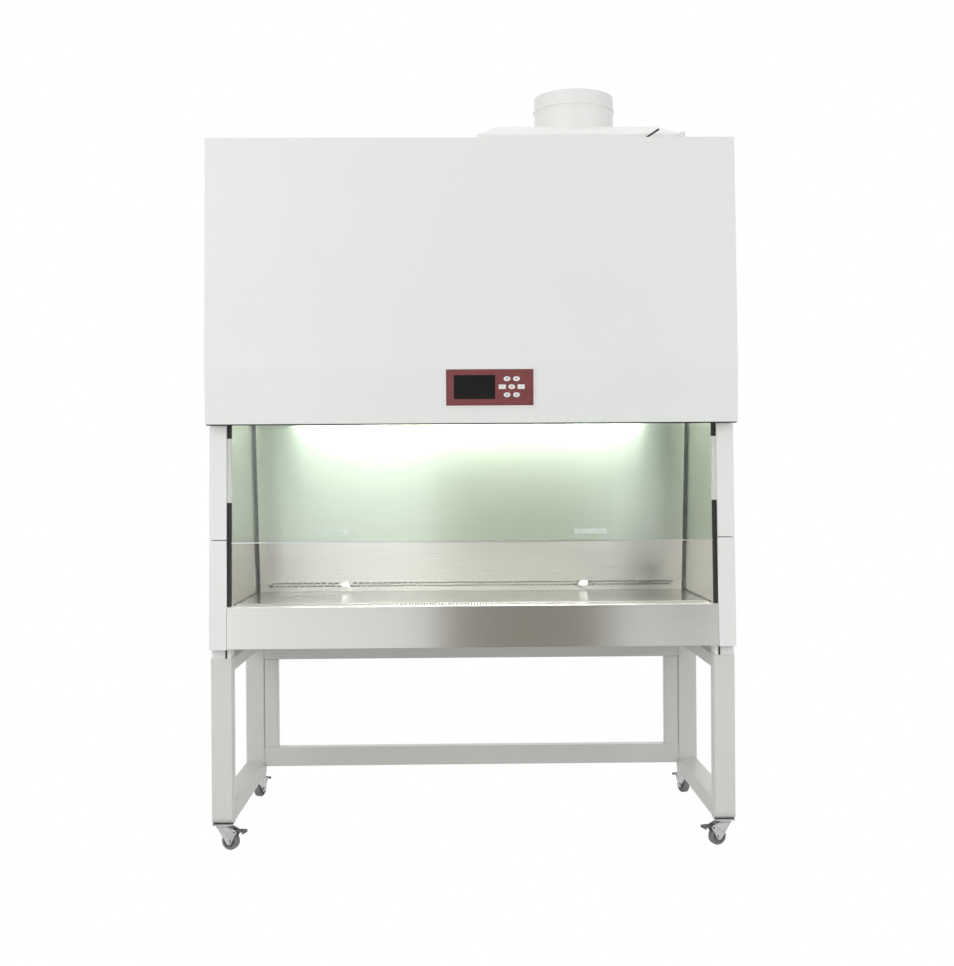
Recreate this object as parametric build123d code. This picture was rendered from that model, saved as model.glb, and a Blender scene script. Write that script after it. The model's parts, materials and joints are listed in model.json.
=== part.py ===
from build123d import *
import math
import os

# A free-standing biological safety cabinet on a wheeled stand.
# Millimetres. X runs to the right, Y to the back, Z up; the origin is on the floor under the middle.

# Overall size
WIDTH = 1500.0
DEPTH = 760.0

# Heights, each counted up from the one before
CASTER_HEAD = 25.0
STAND_HEIGHT = 472.0
BLOCK_HEIGHT = 28.0
WORK_RISE = 120.0
WINDOW_HEIGHT = 517.0
BAND_HEIGHT = 155.0
HOOD_HEIGHT = 655.0
COLLAR_RISE = 116.0

# Sheet metal and the gaps between sheets
SHEET = 1.5
SEAM = 1.0
SEAT_GAP = 0.3
SHAFT_GAP = 0.06
MOVING_GAP = 0.6

# Leaning front
LEAN_DEG = 2.5
BAND_SETBACK = 7.0
COLUMN_SETBACK = 28.0
HOOD_RETURN = 60.0
HOOD_LIP = 45.0

# Side columns, as wide as the double-skin side panels behind them
COLUMN_INSET = 3.0
COLUMN_WIDTH = 48.0
COLUMN_DEPTH = 40.0
COLUMN_SEAM_RISE = 190.0
COLUMN_SEAM = 2.5

# Sash
SASH_SETBACK = 14.0
GLASS = 6.0
SASH_OPEN = 180.0
SASH_HEIGHT = 705.0
SASH_EDGE_GAP = 3.0
GUIDE_WIDTH = 12.0
GUIDE_WEB = 2.0
GUIDE_LIP = 2.4
GUIDE_DROP = 38.0
HANDLE_LENGTH = 92.0
HANDLE_DEPTH = 11.0
HANDLE_HEIGHT = 14.0
HANDLE_THICK = 5.0
HANDLE_INSETS = (301.0, 363.0)
HANDLE_LIFT = 22.0
RAIL_HEIGHT = 26.0
RAIL_WALL = 3.0

# Belt lift behind the sash
PULLEY_INSET = 79.0
PULLEY_R = 20.0
BELT = 2.0
BELT_WIDTH = 15.0
BELT_BEHIND = 50.0
IDLER_RISE = 29.0
LIFT_SPAN = 496.0
SHAFT_R = 8.0
EAR = 3.0
EAR_GAP = 1.0
GEARBOX = 60.0
LIFT_MOTOR_R = 24.0
LIFT_MOTOR_LENGTH = 110.0

# Front sill, intake grille and work surface
SILL_SETBACK = 4.0
SILL_RISE = 2.0
SILL_BEND_R = 2.5
SILL_HEM = 15.0
GRILLE_DEPTH = 86.0
GRILLE_PITCH = 8.5
GRILLE_SLOT = 3.5
GRILLE_SLOT_LENGTH = 66.0
GRILLE_MARGIN = 14.0
TRAY_FLANGE = 20.0
LEDGE = 26.0

# Work chamber
CHAMBER_INSET = 11.0
CHAMBER_HEIGHT = 648.0
REAR_DUCT = 230.0
REAR_WALL_LEAN_DEG = 8.0
WALL_TAIL = 20.0
SLOT_ROWS_Z = (18.5, 28.0)
SLOT_LENGTH = 13.0
SLOT_HEIGHT = 4.5
SLOT_PITCH = 20.0
SLOT_MARGIN = 30.0
CLIP_INSETS = (282.0, 326.0)
CLIP_SIZE = (26.0, 9.0, 16.0)
DIFFUSER_SLOT = (8.0, 62.0)
DIFFUSER_PITCH = (40.0, 84.0)

# Lamps under the diffuser
LAMP_R = 13.0
LAMP_INSET = 88.0
LAMP_BEHIND = 65.0
UV_INSET = 238.0
UV_AHEAD = 33.0
LAMP_DROP = 33.0
HOLDER = 24.0

# Supply air: filter, plenum and blower
FILTER_INSET = 8.0
FILTER_AHEAD = 108.0
FILTER_HEIGHT = 70.0
FILTER_FRAME = 18.0
PLEAT_PITCH = 24.0
PLENUM_HEIGHT = 85.0
BLOWER_INSET = 420.0
OUTLET_SETBACK = 40.0
BLOWER_WIDTH = 190.0
SCROLL_START_R = 122.0
SCROLL_END_R = 185.0
SCROLL_START_DEG = 215.0
SCROLL_END_DEG = 540.0
SCROLL_POINTS = 14
OUTLET_DROP = 200.0
INLET_R = 85.0
WHEEL_R = 108.0
WHEEL_INNER_R = 86.0
WHEEL_WIDTH = 166.0
WHEEL_PLATE = 2.0
WHEEL_HUB_R = 20.0
BLADE_COUNT = 24
BLADE = 1.5
BLADE_SWEEP_DEG = 7.0
MOTOR_R = 58.0
MOTOR_LENGTH = 130.0
MOTOR_GAP = 30.0
MOTOR_FOOT = 93.0
NOSE_LENGTH = 14.0

# Exhaust air: filter, plenum box and round collar on the roof
EXHAUST_INSET = 419.0
EXHAUST_AHEAD = 320.0
PLENUM_BASE = (616.0, 400.0)
PLENUM_TOP = (495.0, 236.0)
PLENUM_BOX_HEIGHT = 67.0
PLENUM_SLOPE_HEIGHT = 45.0
PLENUM_FLANGE = 12.0
ROOF_OPENING = (540.0, 330.0)
COLLAR_R = 125.0
COLLAR_FOOT = 26.0
BEAD_R = 3.0
BEAD_DROP = 42.0
EXHAUST_FILTER = (610.0, 400.0, 110.0)
INLET_SLOT = (110.0, 7.0)
INLET_COUNT = (3, 14)
INLET_PITCH = (130.0, 18.0)
PEG_R = 3.5
PEG_HEIGHT = 67.0
PEG_INSETS = (117.0, 109.0)
PEG_AHEAD = 220.0
TUBE_R = 3.0
TUBE_ROUTE = (
    (183.0, -236.0, 0.0),
    (183.0, -236.0, 38.0),
    (235.0, -216.0, 76.0),
)
TUBE_BEND_R = 14.0

# Control panel, measured on the hood's lower band
PANEL_X = 50.0
PANEL_SIZE = (255.0, 111.0)
PANEL_RIM = 4.5
PANEL_PROUD = 4.0
PANEL_TUB_WALL = 4.0
PANEL_TUB_DEPTH = 14.0
PANEL_TUB_MARGIN = 2.5
FACE = 2.5
FACE_LEDGE = 1.0
PLAY = 0.2
SCREEN_SIZE = (116.0, 67.0)
SCREEN_AT = (-43.0, 1.0)
SCREEN_FLANGE = 2.0
SCREEN_RECESS = 0.2
BOARD = 1.6
BOARD_STANDOFF = 2.0
STANDOFF_R = 3.0
SWITCH = (6.0, 6.0, 4.9)
BUTTON_PROUD = 1.0
BUTTON_FLANGE = 1.2
BUTTON_FLANGE_THICK = 1.5
BUTTON_TRAVEL = 0.8
BUTTON_NUB_R = 2.5
BUTTON_EDGE_R = 0.4
OVAL = (19.0, 13.5)
KEY = (20.0, 12.5)
KEY_CORNER_R = 1.5
BUTTONS = {
    "button_power": ("oval", 48.5, 24.0),
    "button_lamp": ("oval", 75.0, 24.0),
    "button_down": ("key", 35.0, 1.5),
    "button_set": ("oval", 61.7, 1.5),
    "button_up": ("key", 88.0, 1.5),
    "button_uv": ("oval", 48.5, -21.0),
    "button_fan": ("oval", 75.0, -21.0),
}

# Rear panel's service cover
COVER_SIZE = (520.0, 300.0)

# Stand
STAND_INSET = 2.0
STAND_SETBACK = 56.0
STAND_BACK_INSET = 70.0
LEG = (60.0, 50.0)
LEG_CORNER_R = 22.0
TUBE_CORNER_R = 4.0
TUBE_WALL = 2.0
LOW_RAIL = 50.0
HIGH_RAIL = 40.0
CROSS_TUBE = (45.0, 40.0)
CROSS_RISE = 33.0
CROSS_LOW = 62.0
CROSS_HIGH = 85.0
BLOCK = (55.0, 46.0)
BOLT_R = 6.5
BOLT_HEAD = 1.8
BOLT_PAIR = 26.0

# Casters, with the wheel trailing along local +X
PLATE = (58.0, 48.0, 4.0)
RACE_R = 21.0
RACE = 5.0
KINGPIN_R = 5.0
KINGPIN_HEAD_R = 8.5
KINGPIN_HEAD = 3.5
CROWN = 3.2
CROWN_R = 22.0
CHEEK = 2.5
TRAIL = 22.0
WHEEL_RADIUS = 25.0
TREAD_WIDTH = 20.0
TREAD_R = 4.0
HUB_RADIUS = 17.0
HUB_DISH = 4.0
HUB_BOSS_R = 8.0
WHEEL_SIDE_GAP = 0.3
BOSS_WIDTH = 23.4
AXLE_R = 4.0
AXLE_HEAD_R = 6.5
AXLE_HEAD = 4.0
EYE_R = 9.0
PEDAL_CLEAR = 2.45
PEDAL_ANGLE_DEG = 56.3
PEDAL_EAR_R = 6.0
PEDAL_PIN_R = 3.0
PEDAL_HUB_R = 5.0
PEDAL_REACH = 27.0
PEDAL_WIDTH = 30.0
PEDAL_THICK = 2.5
CASTERS = {
    "front_left": (-1, "front", -18.0),
    "front_right": (1, "front", 200.0),
    "rear_left": (-1, "rear", 68.0),
    "rear_right": (1, "rear", 112.0),
}

# Heights worked out from the sizes above
CASTER_HEIGHT = 2 * WHEEL_RADIUS + CASTER_HEAD
STAND_TOP_Z = CASTER_HEIGHT + STAND_HEIGHT
CROSS_LOW_Z = CASTER_HEIGHT + CROSS_RISE
CABINET_Z = STAND_TOP_Z + BLOCK_HEIGHT
SILL_BOTTOM_Z = CABINET_Z + SILL_RISE
WORK_Z = CABINET_Z + WORK_RISE
COLUMN_SEAM_Z = WORK_Z + COLUMN_SEAM_RISE
HOOD_Z = WORK_Z + WINDOW_HEIGHT
CREASE_Z = HOOD_Z + BAND_HEIGHT
ROOF_Z = CREASE_Z + HOOD_HEIGHT
PLENUM_TOP_Z = ROOF_Z + PLENUM_BOX_HEIGHT + PLENUM_SLOPE_HEIGHT
COLLAR_TOP_Z = PLENUM_TOP_Z + COLLAR_RISE
SASH_Z = WORK_Z + SASH_OPEN
SASH_TOP_Z = SASH_Z + SASH_HEIGHT
CHAMBER_TOP_Z = WORK_Z + CHAMBER_HEIGHT
DIFFUSER_Z = CHAMBER_TOP_Z + SEAT_GAP
FILTER_Z = DIFFUSER_Z + SHEET
PLENUM_Z = FILTER_Z + FILTER_HEIGHT
DECK_Z = PLENUM_Z + PLENUM_HEIGHT
BLOWER_Z = DECK_Z + OUTLET_DROP
IDLER_Z = CHAMBER_TOP_Z + IDLER_RISE
DRIVE_Z = IDLER_Z + LIFT_SPAN
GUIDE_TOP_Z = DRIVE_Z - GUIDE_DROP
CROWN_TOP_Z = CASTER_HEIGHT - PLATE[2] - RACE - SEAT_GAP

# Widths
HALF = WIDTH / 2
COLUMN_OUTER = HALF - COLUMN_INSET
COLUMN_INNER = COLUMN_OUTER - COLUMN_WIDTH
PANEL_INNER = COLUMN_INNER
GUIDE_INNER = COLUMN_INNER - GUIDE_WIDTH
PULLEY_X = COLUMN_INNER - PULLEY_INSET
HANDLE_X = (HANDLE_INSETS[0] - COLUMN_INNER, COLUMN_INNER - HANDLE_INSETS[1])
CHAMBER_HALF = COLUMN_INNER - CHAMBER_INSET
CLIP_X = (CLIP_INSETS[0] - CHAMBER_HALF, CHAMBER_HALF - CLIP_INSETS[1])
FILTER_HALF = CHAMBER_HALF - FILTER_INSET
BLOWER_X = BLOWER_INSET - HALF
EXHAUST_X = HALF - EXHAUST_INSET
CHEEK_INNER = BOSS_WIDTH / 2 + WHEEL_SIDE_GAP

# Depths
FRONT = -DEPTH / 2 + PANEL_PROUD
BACK = DEPTH / 2
SLOPE = math.tan(math.radians(LEAN_DEG))
REAR_SLOPE = math.tan(math.radians(REAR_WALL_LEAN_DEG))
GUIDE_FRONT = SASH_SETBACK - MOVING_GAP - GUIDE_LIP
GUIDE_BACK = SASH_SETBACK + GLASS + MOVING_GAP + GUIDE_LIP
LIFT_BACK = BELT_BEHIND + PULLEY_R + 4 * BELT + EAR
REAR_WALL_Y = BACK - REAR_DUCT
EXHAUST_Y = BACK - EXHAUST_AHEAD
STAND_FRONT = FRONT + STAND_SETBACK
STAND_BACK = BACK - STAND_BACK_INSET

# The brake pedal's pivot, clear of the wheel's rim, along the trail and up
PEDAL_OUT = WHEEL_RADIUS + PEDAL_HUB_R + PEDAL_CLEAR
PEDAL_TILT = math.radians(PEDAL_ANGLE_DEG)
PEDAL_AT = (TRAIL + PEDAL_OUT * math.cos(PEDAL_TILT), WHEEL_RADIUS + PEDAL_OUT * math.sin(PEDAL_TILT))


def column_face(z, behind=0.0):
    """Y of the leaning plane that the column fronts share, moved back by behind."""
    return FRONT + COLUMN_SETBACK + (z - CABINET_Z) * SLOPE + behind


def hood_face(z, behind=0.0):
    """Y of the hood's front: it leans back above the crease and tucks in below it."""
    if z >= CREASE_Z:
        return FRONT + (z - CREASE_Z) * SLOPE + behind
    return FRONT + (CREASE_Z - z) / (CREASE_Z - HOOD_Z) * BAND_SETBACK + behind


def rear_face(z, behind=0.0):
    """Y of the chamber's rear wall, which leans forward as it rises."""
    return REAR_WALL_Y - (z - WORK_Z) * REAR_SLOPE + behind


def supply_y():
    """Y span of the supply filter and plenum, from behind the sash lift to the back duct."""
    return (column_face(DECK_Z, LIFT_BACK + SEAM), REAR_WALL_Y - FILTER_AHEAD)


def blower_y():
    """Y of the blower's axis, which puts its outlet over the supply plenum."""
    return supply_y()[0] + OUTLET_SETBACK + SCROLL_END_R


def span(centre, size):
    return (centre - size / 2, centre + size / 2)


def block(x, y, z):
    """A box between three (low, high) spans."""
    spans = (x, y, z)
    size = [high - low for low, high in spans]
    middle = [(high + low) / 2 for low, high in spans]
    return Pos(*middle) * Box(*size)


def yz_plate(sketch, x):
    """A sketch in Y and Z, carried along X."""
    return extrude(Plane.YZ.offset(x[0]) * sketch, amount=x[1] - x[0], dir=(1, 0, 0))


def xz_plate(sketch, y):
    """A sketch in X and Z, carried along Y."""
    return extrude(Plane.XZ.offset(-y[0]) * sketch, amount=y[1] - y[0], dir=(0, 1, 0))


def prism(profile, x):
    return yz_plate(Polygon(*profile, align=None), x)


def rod(radius, x, y, z):
    """A round bar along X."""
    return yz_plate(Pos(y, z) * Circle(radius), x)


def leaning_slab(x, z, behind, thick, face=column_face):
    """A slab between two heights that follows one of the leaning faces."""
    low, high = z
    corners = [
        (face(low, behind), low),
        (face(low, behind + thick), low),
        (face(high, behind + thick), high),
        (face(high, behind), high),
    ]
    return prism(corners, x)


def mirrored(*solids):
    """The solids of the right side, and the same ones on the left."""
    return [*solids, *[mirror(solid, about=Plane.YZ) for solid in solids]]


def save(name, *solids):
    parts = [part for solid in solids for part in solid.solids()]
    export_step(Compound(parts), f"parts/{name}.step")


def square_tube(x, y, z, length_axis):
    """A closed square tube with rounded long edges."""
    outer = block(x, y, z)
    outer = fillet(outer.edges().filter_by(length_axis), TUBE_CORNER_R)
    inner = block(*[(low + TUBE_WALL, high - TUBE_WALL) for low, high in (x, y, z)])
    return outer - inner


def stand_leg(x, y, outer_y):
    """One leg, rounded at the foot's outer corner and solid where the caster bolts on."""
    z = (CASTER_HEIGHT, STAND_TOP_Z)
    leg = block(x, y, z)
    leg = fillet(leg.edges().filter_by(Axis.Z), TUBE_CORNER_R)
    leg -= foot_cutter(outer_y, x)
    hollow = [(low + TUBE_WALL, high - TUBE_WALL) for low, high in (x, y)]
    return leg - block(*hollow, (z[0] + LEG_CORNER_R + TUBE_WALL, z[1] - TUBE_WALL))


def foot_cutter(outer_y, x):
    """What a quarter round takes off the foot's outer corner."""
    inward = 1 if outer_y < 0 else -1
    corner = Pos(outer_y + inward * LEG_CORNER_R / 2, CASTER_HEIGHT + LEG_CORNER_R / 2)
    centre = Pos(outer_y + inward * LEG_CORNER_R, CASTER_HEIGHT + LEG_CORNER_R)
    waste = corner * Rectangle(LEG_CORNER_R, LEG_CORNER_R) - centre * Circle(LEG_CORNER_R)
    return yz_plate(waste, x)


def make_stand():
    x = (HALF - STAND_INSET - LEG[0], HALF - STAND_INSET)
    front_y = (STAND_FRONT, STAND_FRONT + LEG[1])
    rear_y = (STAND_BACK - LEG[1], STAND_BACK)
    between = (front_y[1], rear_y[0])
    side = [
        stand_leg(x, front_y, STAND_FRONT),
        stand_leg(x, rear_y, STAND_BACK),
        square_tube(x, between, (CASTER_HEIGHT, CASTER_HEIGHT + LOW_RAIL), Axis.Y),
        square_tube(x, between, (STAND_TOP_Z - HIGH_RAIL, STAND_TOP_Z), Axis.Y),
    ]
    save("stand_side_frames", *mirrored(*side))

    cross_y = span(STAND_BACK - LEG[1] / 2, CROSS_TUBE[1])
    post_x = (x[0] - CROSS_TUBE[0], x[0])
    low_z = (CROSS_LOW_Z, CROSS_LOW_Z + CROSS_LOW)
    high_z = (STAND_TOP_Z - CROSS_HIGH, STAND_TOP_Z)
    posts = mirrored(square_tube(post_x, cross_y, (low_z[1], high_z[0]), Axis.Z))
    beams = [square_tube((-x[0], x[0]), cross_y, z, Axis.X) for z in (low_z, high_z)]
    save("stand_cross_frame", *posts, *beams)

    leg_x = (x[0] + x[1]) / 2
    leg_ys = (STAND_FRONT + LEG[1] / 2, STAND_BACK - LEG[1] / 2)
    blocks = [block(span(leg_x, BLOCK[0]), span(y, BLOCK[1]), (STAND_TOP_Z, CABINET_Z)) for y in leg_ys]
    save("stand_mounting_blocks", *mirrored(*blocks))

    # Low bolt heads on the STAND_BACK legs' outer faces hold the cross frame's beams.
    head = extrude(RegularPolygon(BOLT_R, 6), amount=BOLT_HEAD)
    bolts = []
    for middle in (CROSS_LOW_Z + CROSS_LOW / 2, STAND_TOP_Z - CROSS_HIGH / 2):
        for z in span(middle, BOLT_PAIR):
            bolts.append(Pos(x[1], leg_ys[1], z) * Rot(0, 90, 0) * head)
    save("stand_bolts", *mirrored(*bolts))


def cheek_outline():
    """The fork's side plate: a hull round the axle eye, the pedal's ear and the crown."""
    corners = [
        Pos(TRAIL, WHEEL_RADIUS) * Circle(EYE_R),
        Pos(*PEDAL_AT) * Circle(PEDAL_EAR_R),
        Pos(-CROWN_R / 2, CROWN_TOP_Z - CROWN) * Circle(CROWN),
        Pos(CROWN_R, CROWN_TOP_Z - CROWN) * Circle(CROWN),
    ]
    edges = [edge for corner in corners for edge in corner.edges()]
    outline = make_hull(edges)
    outline -= Pos(TRAIL, WHEEL_RADIUS) * Circle(AXLE_R + SHAFT_GAP / 2)
    outline -= Pos(*PEDAL_AT) * Circle(PEDAL_PIN_R + SHAFT_GAP)
    return outline


def caster_plate():
    z = CASTER_HEIGHT
    plate = Pos(0, 0, z - PLATE[2] / 2) * Box(*PLATE)
    plate = fillet(plate.edges().filter_by(Axis.Z), TUBE_CORNER_R)
    race = Pos(0, 0, z - PLATE[2] - RACE / 2) * Cylinder(RACE_R, RACE)
    pin_low = CROWN_TOP_Z - CROWN - SEAT_GAP
    pin = Pos(0, 0, (pin_low + z - PLATE[2]) / 2) * Cylinder(KINGPIN_R, z - PLATE[2] - pin_low)
    head = Pos(0, 0, pin_low - KINGPIN_HEAD / 2) * Cylinder(KINGPIN_HEAD_R, KINGPIN_HEAD)
    return plate + race + pin + head


def caster_fork():
    """The swivelling fork, with its axle bolt and nut."""
    outer = CHEEK_INNER + CHEEK
    cheek = xz_plate(cheek_outline(), (CHEEK_INNER, outer))
    crown = Pos(0, 0, CROWN_TOP_Z - CROWN / 2) * Cylinder(CROWN_R, CROWN)
    bridge = block((0, CROWN_R), (-outer, outer), (CROWN_TOP_Z - CROWN, CROWN_TOP_Z))
    fork = crown + bridge + cheek + mirror(cheek, about=Plane.XZ)
    fork -= Pos(0, 0, CROWN_TOP_Z) * Cylinder(KINGPIN_R + SHAFT_GAP, CASTER_HEIGHT / 2)
    axle = xz_plate(Pos(TRAIL, WHEEL_RADIUS) * Circle(AXLE_R), (-outer, outer))
    head = Pos(TRAIL, WHEEL_RADIUS) * RegularPolygon(AXLE_HEAD_R, 6)
    axle += xz_plate(head, (outer, outer + AXLE_HEAD)) + xz_plate(head, (-outer - AXLE_HEAD, -outer))
    return [fork, axle]


def caster_wheel():
    """Tyre and dished hub, turned about the axle."""
    half = TREAD_WIDTH / 2
    disc = Cylinder(WHEEL_RADIUS, TREAD_WIDTH)
    disc = fillet(disc.edges(), TREAD_R)
    dish = Pos(0, 0, half - HUB_DISH / 2) * Cylinder(HUB_RADIUS, HUB_DISH)
    disc -= [dish, mirror(dish, about=Plane.XY)]
    disc += Cylinder(HUB_BOSS_R, BOSS_WIDTH)
    disc -= Cylinder(AXLE_R + SHAFT_GAP, BOSS_WIDTH)
    return Pos(TRAIL, 0, WHEEL_RADIUS) * Rot(90, 0, 0) * disc


def caster_pedal():
    """Brake pedal: a hub between the cheeks, its pin, and a tread with a turned-down tip."""
    x, z = PEDAL_AT
    hub_half = CHEEK_INNER - WHEEL_SIDE_GAP
    pin_half = CHEEK_INNER + CHEEK
    hub = xz_plate(Pos(x, z) * Circle(PEDAL_HUB_R), (-hub_half, hub_half))
    pin = xz_plate(Pos(x, z) * Circle(PEDAL_PIN_R), (-pin_half, pin_half))
    top = z + PEDAL_HUB_R
    tread_x = (x + PEDAL_EAR_R + SEAT_GAP, x + PEDAL_REACH)
    neck = block((x, tread_x[0] + PEDAL_THICK), (-hub_half, hub_half), (top - PEDAL_THICK, top))
    tread = block(tread_x, span(0, PEDAL_WIDTH), (top - PEDAL_THICK, top))
    tip = block((tread_x[1] - PEDAL_THICK, tread_x[1]), span(0, PEDAL_WIDTH), (top - 3 * PEDAL_THICK, top))
    return hub + pin + neck + tread + tip


def make_casters():
    leg_x = HALF - STAND_INSET - LEG[0] / 2
    leg_y = {"front": STAND_FRONT + LEG[1] / 2, "rear": STAND_BACK - LEG[1] / 2}
    plates = []
    for place, (side, end, heading) in CASTERS.items():
        spot = Pos(side * leg_x, leg_y[end], 0)
        turned = spot * Rot(0, 0, heading)
        plates.append(spot * caster_plate())
        save(f"caster_fork_{place}", *[turned * solid for solid in caster_fork()])
        save(f"caster_wheel_{place}", turned * caster_wheel())
        save(f"caster_pedal_{place}", turned * caster_pedal())
    save("caster_plates", *plates)


def make_columns():
    """Folded covers on the front edge of the side walls, in two lengths with a seam between."""
    covers = []
    seam_low, seam_high = span(COLUMN_SEAM_Z, COLUMN_SEAM)
    for z in ((CABINET_Z, seam_low), (seam_high, HOOD_Z - 2 * SEAM)):
        outer = leaning_slab((COLUMN_INNER, COLUMN_OUTER), z, 0, COLUMN_DEPTH)
        inner_x = (COLUMN_INNER + SHEET, COLUMN_OUTER - SHEET)
        covers.append(outer - leaning_slab(inner_x, z, SHEET, COLUMN_DEPTH))
    save("column_covers", *mirrored(*covers))


def make_shell():
    """Side, rear and roof panels."""
    back = BACK - 2 * SHEET
    top = ROOF_Z - SHEET
    behind_hood = HOOD_RETURN + SEAM
    profile = [
        (column_face(CABINET_Z, COLUMN_DEPTH), CABINET_Z),
        (back, CABINET_Z),
        (back, top),
        (hood_face(top, behind_hood), top),
        (hood_face(CREASE_Z, behind_hood), CREASE_Z),
        (hood_face(HOOD_Z, behind_hood), HOOD_Z),
        (column_face(HOOD_Z, COLUMN_DEPTH), HOOD_Z),
    ]
    skin = Polygon(*profile, align=None)
    core = offset(skin, amount=-SHEET, kind=Kind.INTERSECTION)
    panel = yz_plate(skin, (PANEL_INNER, HALF)) - yz_plate(core, (PANEL_INNER + SHEET, HALF - SHEET))
    save("side_panels", *mirrored(panel))

    rear = block((-HALF, HALF), (back, back + SHEET), (CABINET_Z, top))
    cover = block(span(BLOWER_X, COVER_SIZE[0]), (back + SHEET, BACK), span(BLOWER_Z, COVER_SIZE[1]))
    save("rear_panel", rear, fillet(cover.edges().filter_by(Axis.Y), TUBE_CORNER_R))

    roof = block((-HALF, HALF), (hood_face(ROOF_Z, behind_hood), back + SHEET), (top, ROOF_Z))
    tongue_x = HALF - SHEET - SEAT_GAP
    roof += block((-tongue_x, tongue_x), (hood_face(ROOF_Z, SHEET + SEAT_GAP), 0), (top, ROOF_Z))
    opening_y = span(EXHAUST_Y, ROOF_OPENING[1])
    roof -= block(span(EXHAUST_X, ROOF_OPENING[0]), opening_y, (top - SHEET, ROOF_Z + SHEET))
    slot = Pos(BLOWER_X, EXHAUST_Y, top) * Box(*INLET_SLOT, 4 * SHEET)
    roof -= [place * slot for place in GridLocations(*INLET_PITCH, *INLET_COUNT)]
    save("roof_panel", roof)


def make_hood():
    """The front cover, one folded sheet with side returns and a bottom lip."""
    outside = [
        (hood_face(ROOF_Z), ROOF_Z),
        (FRONT, CREASE_Z),
        (hood_face(HOOD_Z), HOOD_Z),
        (hood_face(HOOD_Z, HOOD_RETURN), HOOD_Z),
        (FRONT + HOOD_RETURN, CREASE_Z),
        (hood_face(ROOF_Z, HOOD_RETURN), ROOF_Z),
    ]
    beyond = HOOD_RETURN + WIDTH / 10
    above = ROOF_Z + HOOD_RETURN
    inside = [
        (hood_face(above, SHEET), above),
        (FRONT + SHEET, CREASE_Z),
        (hood_face(HOOD_Z, SHEET), HOOD_Z + SHEET),
        (hood_face(HOOD_Z, HOOD_LIP), HOOD_Z + SHEET),
        (hood_face(HOOD_Z, HOOD_LIP), HOOD_Z - HOOD_LIP),
        (FRONT + beyond, HOOD_Z - HOOD_LIP),
        (FRONT + beyond, above),
    ]
    cover = prism(outside, (-HALF, HALF)) - prism(inside, (-HALF + SHEET, HALF - SHEET))
    cut = [size - 2 * PANEL_TUB_MARGIN + 2 * PLAY for size in PANEL_SIZE]
    cover -= on_band(0, 0, -PANEL_TUB_DEPTH) * Box(*cut, 2 * PANEL_TUB_DEPTH + HOOD_LIP)
    save("hood_cover", cover)


def on_band(across, up, out):
    """A place on the hood's lower band, counted from the control panel's middle."""
    drop = CREASE_Z - HOOD_Z
    tilt = math.atan2(BAND_SETBACK, drop)
    normal = (0, -math.cos(tilt), -math.sin(tilt))
    plane = Plane(origin=(PANEL_X, FRONT, CREASE_Z), x_dir=(1, 0, 0), z_dir=normal)
    return Location(plane) * Pos(across, up - PANEL_SIZE[1] / 2, out)


def layer(sketch, across, up, low, high):
    """A sketch laid on the band and raised between two heights above it."""
    return on_band(across, up, low) * extrude(sketch, amount=high - low)


def button_sketch(kind, grow=0.0):
    if kind == "oval":
        return Ellipse(OVAL[0] / 2 + grow, OVAL[1] / 2 + grow)
    return RectangleRounded(KEY[0] + 2 * grow, KEY[1] + 2 * grow, KEY_CORNER_R + grow)


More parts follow.
